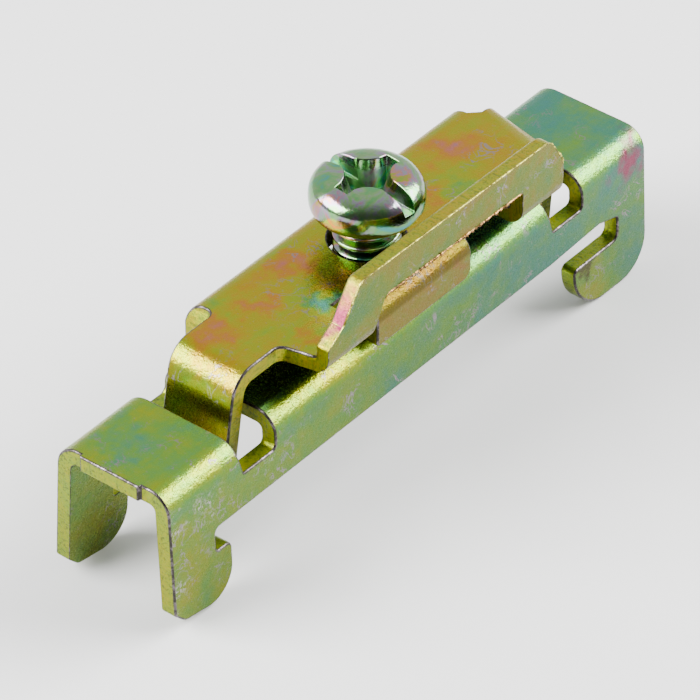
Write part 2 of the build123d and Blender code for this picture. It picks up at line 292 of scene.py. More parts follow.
@dataclass(frozen=True)
class FilmFinish:
    """Iridescent passivation film over zinc plated sheet.

    The film's thickness is a sum: an even value, a drift along X, broad clouds, narrow streaks, a fine
    mottle, a share for the folds and a few patches of its own. The colour follows the thickness through
    FILM and is painted darker on upright walls, as shade. Grey veins, specks, stains, red blushes, scuffs
    and boxes of painted shade lie over it.
    Folded metal is pebbled, flat metal is nearly smooth.
    """

    name: str
    even: float
    seed: float
    clouds: float
    streaks: float
    fold_shift: float
    drift: float = 0.0
    mottle: float = 0.10
    streak_turn: float = 35.0
    patches: Patches = ()
    scuffs: Spots = ()
    veins: Spots = ()
    stains: Spots = ()
    # boxes of painted shade, which darken the film inside them
    painted_shades: Boxes = ()
    blushes: Spots = ()
    roughness: float = 0.27
    # share of its colour that the film keeps on upright walls: painted shade
    wall_shade: float = 0.63
    pebble: float = 0.065
    wave: float = 0.05

    def thickness(self, n: Nodes, fold: Socket) -> Socket:
        """Film thickness, 0 to 1.

        Args:
            n: the material's nodes.
            fold: how far the metal is folded, 0 to 1.

        Returns:
            The thickness.
        """
        film = n.plus(self.even, fold, self.fold_shift)
        film = n.plus(film, n.axes()[0], self.drift)
        cloud = n.noise(n.place(shift=(self.seed, 3.1, 1.7)), 0.19, 3.0, 0.6, 0.8)
        drawn = n.place((0.22, 1.1, 0.8), self.streak_turn, (self.seed, 9.0, 4.0))
        streak = n.noise(drawn, 0.9, 3.0, 0.6, 0.4)
        mottle = n.noise(n.place(shift=(self.seed, 0.0, 7.0)), 2.2, 4.0, 0.7, 0.3)
        for noise, swing in ((cloud, self.clouds), (streak, self.streaks), (mottle, self.mottle)):
            film = n.vary(film, noise, swing)
        return n.math("ADD", n.patches(film, self.patches), 0.0, clamp=True)

    def marked(self, n: Nodes, colour: Socket) -> Socket:
        """Lays veins, specks, stains, boxes of painted shade and blushes over the film.

        A vein is where a noise crosses its middle, inside broad patches.

        Args:
            n: the material's nodes.
            colour: the film's colour.

        Returns:
            The colour with the marks.
        """
        web = n.noise(n.place(shift=(self.seed, 6.0, 3.0)), 0.75, 3.0, 0.6, 0.7)
        line = n.remap(n.math("ABSOLUTE", n.math("SUBTRACT", web, 0.5)), 0.022, 0.006)
        patch = n.remap(n.noise(n.place(shift=(3.0, self.seed, 1.0)), 0.5), 0.52, 0.66)
        colour = n.over(colour, n.math("MULTIPLY", line, n.spots(self.veins, patch)), 0.85, VEIN)
        speck = n.remap(n.noise(n.place(shift=(self.seed, 5.0, 2.0)), 3.6, 3.0, 0.7), 0.62, 0.70)
        colour = n.over(colour, speck, 0.35, SPECK)
        # real stains, and boxes of painted shade that hide the highlight on the tab's fold under the fin
        stain_and_shade = n.math("MULTIPLY", n.spots(self.stains), 2.2, clamp=True)
        for low, high in self.painted_shades:
            stain_and_shade = n.math("MAXIMUM", stain_and_shade, n.math("MULTIPLY", n.block(low, high), 0.78))
        colour = n.over(colour, stain_and_shade, 0.9, STAIN_AND_SHADE)
        return n.over(colour, n.spots(self.blushes), 1.2, SECOND_RED)

    def build(self) -> bpy.types.Material:
        """Makes the material.

        A fold is where the normal is neither level nor upright. Scuffs are a scratchy noise inside
        spots. The relief is a grain that is deep on the folds, and a long wave.

        Returns:
            The material.
        """
        n = Nodes(self.name)
        facing = n.add("ShaderNodeSeparateXYZ", {0: n.coords.outputs["Normal"]}).outputs[2]
        up = n.math("MULTIPLY", facing, facing)
        fold = n.remap(n.math("MULTIPLY", up, n.math("SUBTRACT", 1.0, up)), 0.03, 0.20)
        film = n.ramp(self.thickness(n, fold), FILM)
        # painted shade: upright walls are made darker than level faces
        wall = n.mix(1.0, film, (self.wall_shade,) * 3, "MULTIPLY")
        colour = self.marked(n, n.mix(n.remap(up, 0.35, 0.05), film, wall))

        scratch = n.noise(n.place((1.0, 0.35, 1.0), 62.0, (self.seed, 0.0, 0.0)), 4.2, 4.0, 0.75)
        worn = n.patches(0.0, tuple((*spot, 1.0) for spot in self.scuffs))
        worn = n.math("MULTIPLY", worn, n.remap(scratch, 0.50, 0.58), clamp=True)
        colour = n.over(colour, worn, 0.95, BARE_ZINC)

        grain = n.noise(n.place(), 5.0, 3.0, 0.6)
        wave = n.noise(n.place(shift=(1.0, 2.0, 3.0)), 0.55)
        depth = n.plus(self.pebble * 0.1, fold, self.pebble * 0.9)
        height = n.plus(n.math("MULTIPLY", grain, depth), wave, self.wave)
        rough = n.plus(n.plus(self.roughness - 0.06, grain, 0.12), fold, 0.015)
        return n.metal(colour, n.plus(rough, worn, 0.28, clamp=True), height)


@dataclass(frozen=True)
class ShearedFinish:
    """Cut face of a sheet: fine marks along the thickness, torn grains and a film of its own."""

    name: str
    across: Across
    film: float
    swing: float
    marks: float
    seed: float
    patches: Patches = ()
    blushes: Spots = ()
    unevenness: float = 0.175
    mark_depth: float = 0.030
    tear_depth: float = 0.035

    def build(self) -> bpy.types.Material:
        """Makes the material.

        A mark is a noise drawn out along the thickness. Marks and tears make the film uneven, and their
        pits are painted dark as shade.

        Returns:
            The material.
        """
        n = Nodes(self.name)
        drawn = tuple(0.10 if axis is self.across else 1.0 for axis in Across)
        mark = n.noise(n.place(drawn, shift=(self.seed, 1.0, 6.0)), 6.0, 4.0, 0.7)
        tear = n.noise(n.place(shift=(self.seed, 2.0, 8.0)), 5.0, 4.0, 0.75, 0.3)
        wander = n.noise(n.place(shift=(self.seed, 4.0, 0.0)), 0.40, 3.0, 0.6, 0.5)
        film = n.vary(n.vary(self.film, wander, self.swing), tear, self.unevenness)
        film = n.vary(n.patches(film, self.patches), mark, self.unevenness * self.marks, clamp=True)
        # the pits of the tears and marks are painted dark as shade
        pit_shade = n.remap(tear, 0.49, 0.38, 0.0, 0.65)
        pit_shade = n.math("MAXIMUM", pit_shade, n.math("MULTIPLY", n.remap(mark, 0.46, 0.36), 0.7 * self.marks))
        colour = n.mix(pit_shade, n.ramp(film, FILM), PIT_SHADE)
        colour = n.over(colour, n.spots(self.blushes), 1.2, SECOND_RED)
        height = n.plus(n.math("MULTIPLY", mark, self.mark_depth * self.marks), tear, self.tear_depth)
        return n.metal(colour, n.remap(tear, 0.3, 0.7, 0.42, 0.28), height)


@dataclass(frozen=True)
class EdgeFinish:
    """Rolled and ragged edges, where the film is broken and dull zinc shows; their dark tone is painted
    shade for the dark reflection along the rounded edge.
    """

    name: str
    bright: Vec3 = (0.15, 0.125, 0.135)
    # dark tone: dull zinc, and painted shade along the rounded edge
    dull_and_shade: Vec3 = (0.034, 0.030, 0.026)
    balance: float = 0.55
    roughness: float = 0.30
    grain_depth: float = 0.02

    def build(self) -> bpy.types.Material:
        """Makes the material: two tones in patches under a fine grain, the dark one partly painted shade.

        Returns:
            The material.
        """
        n = Nodes(self.name)
        patch = n.noise(n.place(shift=(2.0, 5.0, 1.0)), 2.2, 5.0, 0.75)
        # patches of the pale tone and of the dark tone, which is partly painted shade
        colour = n.mix(n.remap(patch, self.balance - 0.10, self.balance + 0.10), self.dull_and_shade, self.bright)
        rough = n.remap(patch, 0.3, 0.7, self.roughness + 0.1, self.roughness - 0.05)
        grain = n.noise(n.place(), 7.0, 3.0, 0.7)
        return n.metal(colour, rough, n.math("MULTIPLY", grain, self.grain_depth))


@dataclass(frozen=True)
class ScrewFinish:
    """Pale iridescent film over a zinc plated screw."""

    name: str = "screw film"
    stops: Stops = (
        (0.08, (0.05, 0.21, 0.20)),
        (0.26, (0.09, 0.25, 0.09)),
        (0.42, (0.15, 0.25, 0.11)),
        (0.52, (0.17, 0.22, 0.19)),
        (0.62, (0.20, 0.16, 0.22)),
        (0.72, (0.29, 0.14, 0.15)),
        (0.82, (0.27, 0.20, 0.04)),
        (0.95, (0.15, 0.25, 0.03)),
    )
    speck: Vec3 = (0.16, 0.15, 0.14)
    even: float = 0.45
    swing: float = 1.15
    middle: tuple[float, float] = (0.77, 0.61)
    crown: float = 16.3
    under: float = 14.5
    roughness: float = 0.16
    relief: float = 0.024

    def build(self) -> bpy.types.Material:
        """Makes the material.

        The recess, between two heights and inside a circle, is duller than the turned outside.

        Returns:
            The material.
        """
        n = Nodes(self.name)
        cloud = n.noise(n.place(shift=(4.0, 2.0, 0.0)), 0.50, 4.0, 0.6, 1.0)
        colour = n.ramp(n.vary(self.even, cloud, self.swing, clamp=True), self.stops)
        speck = n.remap(n.noise(n.place(shift=(0.0, 1.0, 9.0)), 3.2, 3.0, 0.7), 0.62, 0.70)
        colour = n.over(colour, speck, 0.5, self.speck)
        coarse = n.noise(n.place(), 1.8, 3.0, 0.6)
        x, y, z = n.axes()
        across, along = n.math("SUBTRACT", x, self.middle[0]), n.math("SUBTRACT", y, self.middle[1])
        reach = n.math("ADD", n.math("MULTIPLY", across, across), n.math("MULTIPLY", along, along))
        inside = n.math("MULTIPLY", n.remap(reach, 8.0, 5.0), n.remap(z, self.crown, self.crown - 0.5))
        inside = n.math("MULTIPLY", inside, n.remap(z, self.under, self.under + 0.1))
        rough = n.plus(n.plus(self.roughness - 0.07, coarse, 0.14), inside, 0.22)
        return n.metal(colour, rough, n.math("MULTIPLY", coarse, self.relief))


def linked(name: str, data: bpy.types.ID) -> bpy.types.Object:
    """Puts some data into the scene as an object.

    Args:
        name: the object's name.
        data: its mesh, light or camera.

    Returns:
        The object.
    """
    obj = bpy.data.objects.new(name, data)
    bpy.context.scene.collection.objects.link(obj)
    return obj


def stand(obj: bpy.types.Object, axes: tuple[np.ndarray, ...], at: np.ndarray) -> None:
    """Places an object.

    Args:
        obj: the object.
        axes: its three directions.
        at: its place in metres.
    """
    matrix = np.eye(4)
    matrix[:3, :3] = np.array(axes).T
    matrix[:3, 3] = at
    obj.matrix_world = Matrix(matrix.tolist())


def surface(name: str, points: np.ndarray, loop: bool) -> bpy.types.Object:
    """Mesh of a grid of points.

    Corner (i, j) joins (i+1, j), (i+1, j+1) and (i, j+1), with j counted round where it is a loop.

    Args:
        name: the object's name.
        points: positions in metres, shaped (rows, columns, 3).
        loop: whether the last column meets the first.

    Returns:
        The object, not yet riding on anything.
    """
    rows, cols = points.shape[:2]
    i, j = np.meshgrid(np.arange(rows - 1), np.arange(cols - (not loop)), indexing="ij")
    i, j = i.ravel(), j.ravel()
    j2 = (j + 1) % cols
    quads = np.stack([i * cols + j, (i + 1) * cols + j, (i + 1) * cols + j2, i * cols + j2], axis=1)
    mesh = bpy.data.meshes.new(name)
    mesh.vertices.add(rows * cols)
    mesh.vertices.foreach_set("co", points.reshape(-1).astype(np.float32))
    mesh.loops.add(quads.size)
    mesh.loops.foreach_set("vertex_index", quads.reshape(-1).astype(np.int32))
    mesh.polygons.add(len(quads))
    mesh.polygons.foreach_set("loop_start", np.arange(0, quads.size, 4, dtype=np.int32))
    mesh.shade_smooth()
    mesh.update(calc_edges=True)
    mesh.validate()
    return linked(name, mesh)


def close_up(mesh: bpy.types.Mesh) -> None:
    """Merges doubled points, fills open ends and turns every face outward.

    Args:
        mesh: the mesh.
    """
    bm = bmesh.new()
    bm.from_mesh(mesh)
    bmesh.ops.remove_doubles(bm, verts=bm.verts[:], dist=1e-8)
    bmesh.ops.dissolve_degenerate(bm, dist=1e-9, edges=bm.edges[:])
    bmesh.ops.holes_fill(bm, edges=[e for e in bm.edges if e.is_boundary], sides=0)
    bmesh.ops.recalc_face_normals(bm, faces=bm.faces[:])
    bm.to_mesh(mesh)
    bm.free()


def merged_copy(node: str, name: str) -> bpy.types.Object:
    """Copy of a solid of the frame with its loose triangles merged and its flat faces made whole.

    Args:
        node: the solid's name.
        name: the copy's name.

    Returns:
        The copy.
    """
    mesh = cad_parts[node].data.copy()
    mesh.name = name
    mesh.materials.clear()
    bm = bmesh.new()
    bm.from_mesh(mesh)
    bmesh.ops.remove_doubles(bm, verts=bm.verts[:], dist=1e-6)
    bmesh.ops.dissolve_degenerate(bm, dist=1e-7, edges=bm.edges[:])
    bmesh.ops.dissolve_limit(bm, angle_limit=math.radians(0.3), verts=bm.verts[:], edges=bm.edges[:])
    bm.to_mesh(mesh)
    bm.free()
    return linked(name, mesh)


def read(items: bpy.types.bpy_prop_collection, key: str, width: int = 1, kind: type = float) -> np.ndarray:
    """One attribute of all items of a mesh.

    Args:
        items: the items, such as its edges.
        key: the attribute's name.
        width: how many numbers each item has.
        kind: their type.

    Returns:
        The numbers, in rows where an item has more than one.
    """
    values = np.zeros(len(items) * width, dtype=kind)
    items.foreach_get(key, values)
    return values.reshape(-1, width) if width > 1 else values


def face_arrays(mesh: bpy.types.Mesh) -> tuple[np.ndarray, np.ndarray]:
    """Centres in millimetres and normals of a mesh's faces."""
    return read(mesh.polygons, "center", 3) / MM, read(mesh.polygons, "normal", 3)


def edge_ends(mesh: bpy.types.Mesh) -> tuple[np.ndarray, np.ndarray]:
    """Numbers of the points at each edge's ends, and all points in millimetres."""
    return read(mesh.edges, "vertices", 2, np.int32), read(mesh.vertices, "co", 3) / MM


def faces_by_edge(mesh: bpy.types.Mesh) -> tuple[np.ndarray, np.ndarray]:
    """The two faces on either side of each edge of a closed mesh.

    Args:
        mesh: the mesh.

    Returns:
        The faces' numbers on one side and on the other.
    """
    edge_of = read(mesh.loops, "edge_index", kind=np.int32)
    totals = read(mesh.polygons, "loop_total", kind=np.int32)
    order = np.argsort(edge_of, kind="stable")
    face_of = np.repeat(np.arange(len(totals)), totals)[order]
    edges = np.arange(len(mesh.edges))
    first, after = (np.searchsorted(edge_of[order], edges, side) for side in ("left", "right"))
    return face_of[first], face_of[after - 1]


@dataclass
class BurrLine:
    """Ragged lip that the punch leaves along an edge.

    A small ridge is carried along a path. Its cross section has a foot on each of the two faces that
    meet at the edge and a crest outside them; the crest follows layered sines of the distance and some
    noise, and dies away at both ends. Its upward side is `out` crossed with the path's direction.
    """

    name: str
    path: np.ndarray
    out: Vec3 = (0.0, -1.0, 0.0)
    height: float = 0.05
    width: float = 0.13
    step: float = 0.04
    sines: int = 16
    fade: float = 0.5
    sunk: float = 0.01
    root: float = 0.05
    seed: int = 1

    def build(self, body: str, slot: str, finish: bpy.types.Material) -> None:
        """Makes the ridge.

        Args:
            body: body that it rides on.
            slot: not used.
            finish: its material.
        """
        rng = np.random.default_rng(self.seed)
        knots = np.asarray(self.path, float)
        lengths = np.r_[0, np.cumsum(np.linalg.norm(np.diff(knots, axis=0), axis=1))]
        s = np.arange(0, lengths[-1], self.step)
        line = np.stack([np.interp(s, lengths, knots[:, k]) for k in range(3)], axis=1)
        waves = rng.uniform(0.8, 16.0, self.sines)
        phases = rng.uniform(0, 2 * np.pi, self.sines)
        rough = (np.sin(s[:, None] * waves + phases) / np.sqrt(waves)).sum(axis=1)
        ragged = np.clip(0.6 + 0.25 * rough + rng.normal(0, 0.25, len(s)), 0.1, 1.5)
        ends = np.clip(np.minimum(s, lengths[-1] - s) / self.fade, 0.02, 1)
        h = (self.height * ragged * ends)[:, None]
        w = (self.width * (0.7 + 0.3 * ragged) * ends)[:, None]
        lean = rng.normal(0, 0.3, len(s))[:, None] * h
        out = np.array(self.out, float)
        up = np.cross(out, np.gradient(line, axis=0))
        up /= np.linalg.norm(up, axis=1, keepdims=True)
        ring = np.stack([
            line - out * w - up * self.sunk,
            line - out * w * 0.4 + up * h * 0.7,
            line + up * h + out * (h * 0.5 + lean),
            line + out * h * 0.9 - up * h * 0.2,
            line - up * w * 0.5 - out * self.sunk,
            line - up * self.root - out * self.root,
        ], axis=1)
        obj = surface(self.name, ring * MM, True)
        close_up(obj.data)
        obj.data.materials.append(finish)
        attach(obj, body)
        log.info("%s: %.1f mm long, %d faces", obj.name, lengths[-1], len(obj.data.polygons))


@dataclass
class FoldedSheet:
    """Folded sheet that copies a solid, tells its sheet faces from its cut faces, and rolls its edges.

    The methods that tell faces apart take the faces' centres `c` and normals `n`, a row each.
    """

    node: str
    body: str
    slot: str
    film: FilmFinish
    sheared: tuple[ShearedFinish, ...]
    edge: EdgeFinish
    roll: float = 0.12
    burr: float = 0.035
    segments: int = 3
    sharp_from: float = 35.0
    calm_corners: tuple[Vec3, ...] = ()
    calm_r: float = 0.15
    piece: bpy.types.Object | None = field(default=None, init=False)

    def is_skin(self, c: np.ndarray, n: np.ndarray) -> np.ndarray:
        """Whether each face belongs to the rolled surface of the sheet and not to its cut edge."""
        raise NotImplementedError

    def outward(self, c: np.ndarray) -> np.ndarray:
        """A direction at each face that points out of the die-roll side of the sheet."""
        raise NotImplementedError

    def across(self, c: np.ndarray) -> np.ndarray:
        """The value of the Across that the thickness runs along at each face."""
        raise NotImplementedError

    def near_calm_corner(self, mesh: bpy.types.Mesh) -> np.ndarray:
        """Whether each edge ends at a corner that is left sharp.

        Args:
            mesh: the sheet's mesh.

        Returns:
            The edges' mask.
        """
        ends, points = edge_ends(mesh)
        calm = np.zeros(len(points), dtype=bool)
        for corner in self.calm_corners:
            calm |= np.linalg.norm(points - corner, axis=1) < self.calm_r
        return calm[ends].any(axis=1)

    def round_edges(self, mesh: bpy.types.Mesh, skin: np.ndarray, top: np.ndarray) -> int:
        """Weighs the edges for the bevel.

        An edge between a sheet face and a cut face is rounded widely on the side that the punch
        rolled, narrowly on the side of the burr. Edges at calm corners stay sharp.

        Args:
            mesh: the sheet's mesh.
            skin: which faces belong to the rolled surface.
            top: which of them lie on the side that the punch rolled.

        Returns:
            How many edges are rounded widely.
        """
        normals = face_arrays(mesh)[1]
        f0, f1 = faces_by_edge(mesh)
        angle = np.arccos(np.clip(np.einsum("ij,ij->i", normals[f0], normals[f1]), -1, 1))
        sharp = angle > math.radians(self.sharp_from)
        rolled = (skin[f0] != skin[f1]) & np.where(skin[f0], top[f0], top[f1])
        calm = self.near_calm_corner(mesh)
        weight = np.where(sharp & ~calm, np.where(rolled, 1.0, self.burr / self.roll), 0.0)
        hard = mesh.attributes.get("sharp_edge") or mesh.attributes.new("sharp_edge", "BOOLEAN", "EDGE")
        hard.data.foreach_set("value", sharp & calm)
        layer = mesh.attributes.new("bevel_weight_edge", "FLOAT", "EDGE")
        layer.data.foreach_set("value", weight.astype(np.float32))
        return int((weight == 1).sum())

    def build(self) -> None:
        """Makes the dressed sheet."""
        obj = merged_copy(self.node, self.node + "_sheet")
        mesh = obj.data
        c, n = face_arrays(mesh)
        skin = self.is_skin(c, n)
        top = np.einsum("ij,ij->i", n, self.outward(c)) > 0
        slots = np.where(skin, 0, 1 + self.across(c))
        for finish in (self.film, *self.sheared, self.edge):
            mesh.materials.append(finish.build())
        mesh.polygons.foreach_set("material_index", slots.astype(np.int32))
        mesh.shade_smooth()
        rounded = self.round_edges(mesh, skin, top)

        bevel = obj.modifiers.new("edges", "BEVEL")
        bevel.limit_method = "WEIGHT"
        bevel.width = self.roll * MM
        bevel.segments = self.segments
        bevel.use_clamp_overlap = False
        bevel.loop_slide = False
        bevel.material = 1 + len(self.sheared)
        even = obj.modifiers.new("flats", "WEIGHTED_NORMAL")
        even.keep_sharp = True
        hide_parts(self.node)
        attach(obj, self.body)
        self.piece = obj
        log.info("%s: %d faces, %d cut, %d edges rolled", obj.name, len(slots), (~skin).sum(), rounded)


@dataclass
class BaseChannel(FoldedSheet):
    """The hooked channel."""

    web_under: float = 8.5
    fold_foot: float = 8.0
    middle_y: float = 0.52
    screw_xy: tuple[float, float] = (0.77, 0.61)
    collar_reach: float = 3.0

    def is_skin(self, c: np.ndarray, n: np.ndarray) -> np.ndarray:
        """Walls face sideways, the web and its folds never face along X, and the collar is drawn skin.

        Args:
            c: the faces' centres.
            n: their normals.

        Returns:
            The faces' mask.
        """
        wall = c[:, 2] < self.fold_foot
        collar = np.hypot(c[:, 0] - self.screw_xy[0], c[:, 1] - self.screw_xy[1]) < self.collar_reach
        return np.where(wall, np.abs(n[:, 1]) > FACING, np.abs(n[:, 0]) < SQUARE) | collar

    def outward(self, c: np.ndarray) -> np.ndarray:
        """Up from the web and outwards from each wall."""
        side = np.sign(c[:, 1] - self.middle_y)
        return np.stack([np.zeros(len(c)), side, np.where(c[:, 2] > self.fold_foot, 1.0, 0.0)], axis=1)

    def across(self, c: np.ndarray) -> np.ndarray:
        """Z through the web, Y through the walls."""
        return np.where(c[:, 2] > self.web_under, Across.Z.value, Across.Y.value)


@dataclass
class ClampPlate(FoldedSheet):
    """The bridging plate with its legs, flange, tab and stop fin."""

    flat_low: float = 11.15
    flat_high: float = 12.15
    middle: tuple[float, float] = (0.5, 0.61)
    leg_near_x: float = -12.2
    leg_far_x: float = 13.0
    leg_half: float = 2.45
    leg_outside: float = 13.2
    leg_tip: float = 4.4
    flange_in: float = 3.55
    fold_in: float = -3.69
    tab_in: float = -2.7
    tab_x: tuple[float, float] = (-4.5, 5.2)
    fold_tip: float = 10.2
    fin_foot: float = 13.4
    fin_in: float = -3.97
    knee_z: float = 13.95

    def regions(self, c: np.ndarray) -> tuple[np.ndarray, np.ndarray, np.ndarray, np.ndarray]:
        """Tells the folded parts apart.

        Args:
            c: the faces' centres.

        Returns:
            Masks of the legs, the flange, the tab and the fin with its fold.
        """
        x, y, z = c.T
        leg = ((x < self.leg_near_x) | (x > self.leg_far_x)) & (np.abs(y - self.middle[1]) < self.leg_half)
        leg &= (z < self.flat_low - 0.02) | (np.abs(x - self.middle[0]) > self.leg_outside)
        low = z < self.flat_high + 0.01
        flange = (y > self.flange_in) & low & ~leg
        tab = (y < self.tab_in) & low & (x > self.tab_x[0]) & (x < self.tab_x[1])
        fin = (y < self.fold_in) & ~tab & ~leg
        return leg, flange, tab, fin

    def is_skin(self, c: np.ndarray, n: np.ndarray) -> np.ndarray:
        """Each fold is skin where its faces don't look along the fold's own axis.

        Args:
            c: the faces' centres.
            n: their normals.

        Returns:
            The faces' mask.
        """
        leg, flange, tab, fin = self.regions(c)
        z, square = c[:, 2], np.abs(n[:, 0]) < SQUARE
        skin = np.abs(n[:, 2]) > FACING
        skin = np.where(leg, (np.abs(n[:, 1]) < 0.5) & (z > self.leg_tip), skin)
        skin = np.where(flange | tab, square & ~((n[:, 2] < -FACING) & (z < self.fold_tip)), skin)
        skin = np.where(fin, square, skin)
        return np.where(fin & (z > self.fin_foot), np.abs(n[:, 1]) > 0.35, skin)

    def outward(self, c: np.ndarray) -> np.ndarray:
        """The side that was the top of the flat sheet.

        Args:
            c: the faces' centres.

        Returns:
            A direction for each face.
        """
        leg, flange, tab, fin = self.regions(c)
        out = np.tile([0.0, 0.0, 1.0], (len(c), 1))
        side = np.sign(c[leg, 0] - self.middle[0])
        out[leg] = np.stack([side, np.zeros(len(side)), np.full(len(side), 0.6)], axis=1)
        out[flange | fin] = (0.0, 1.0, 0.9)
        out[tab] = (0.0, -1.0, 0.9)
        return out

    def across(self, c: np.ndarray) -> np.ndarray:
        """X through the legs, Z through the flat, Y through the upright parts.

        Args:
            c: the faces' centres.

        Returns:
            The value of an Across for each face.
        """
        leg, flange, tab, fin = self.regions(c)
        axis = np.full(len(c), Across.Z.value)
        axis[leg & (c[:, 2] < self.flat_low)] = Across.X.value
        axis[(flange | tab) & (c[:, 2] < self.flat_low)] = Across.Y.value
        axis[fin & (c[:, 2] > self.flat_high)] = Across.Y.value
        return axis

    def fin_outline(self, below: bool) -> np.ndarray:
        """Outer edge of the fin, in order of X.

        Args:
            below: whether to take the free edge under the fin and not the top edge with its slopes.

        Returns:
            The points in millimetres.
        """
        mesh = self.piece.data
        c, n = face_arrays(mesh)
        f0, f1 = faces_by_edge(mesh)
        face = self.regions(c)[3] & (n[:, 1] < -0.95)
        skin = self.is_skin(c, n)
        mine, other = np.where(face[f1], f1, f0), np.where(face[f1], f0, f1)
        edge = face[mine] & ~skin[other] & (c[other, 2] > self.fin_foot)
        edge &= (n[other, 2] < -0.5) if below else (n[other, 2] > 0.1)
        ends, points = edge_ends(mesh)
        points = points[np.unique(ends[edge])]
        return points[np.argsort(points[:, 0])]

    def burrs(self, bright: EdgeFinish, copper: EdgeFinish) -> None:
        """Makes the ragged lips on the fin's outer edges.

        Args:
            bright: finish of the lip along the top.
            copper: finish of the lip along the free edge below.
        """
        top, low = self.fin_outline(False), self.fin_outline(True)
        BurrLine("clamp_plate_top_burr", top).build(self.body, self.slot, bright.build())
        near = top[top[:, 0] <= 0]
        knee = near[np.argmin(np.abs(near[:, 2] - self.knee_z))]
        across = np.array([(knee[0], self.fin_in, knee[2]), (knee[0], knee[1] + 0.02, knee[2])])
        BurrLine("clamp_plate_knee_burr", across, (-0.75, 0.0, 0.66), 0.06, 0.16, seed=9).build(
            self.body, self.slot, bright.build())
        BurrLine("clamp_plate_low_burr", low[::-1], height=0.10, width=0.18, seed=4).build(
            self.body, self.slot, copper.build())


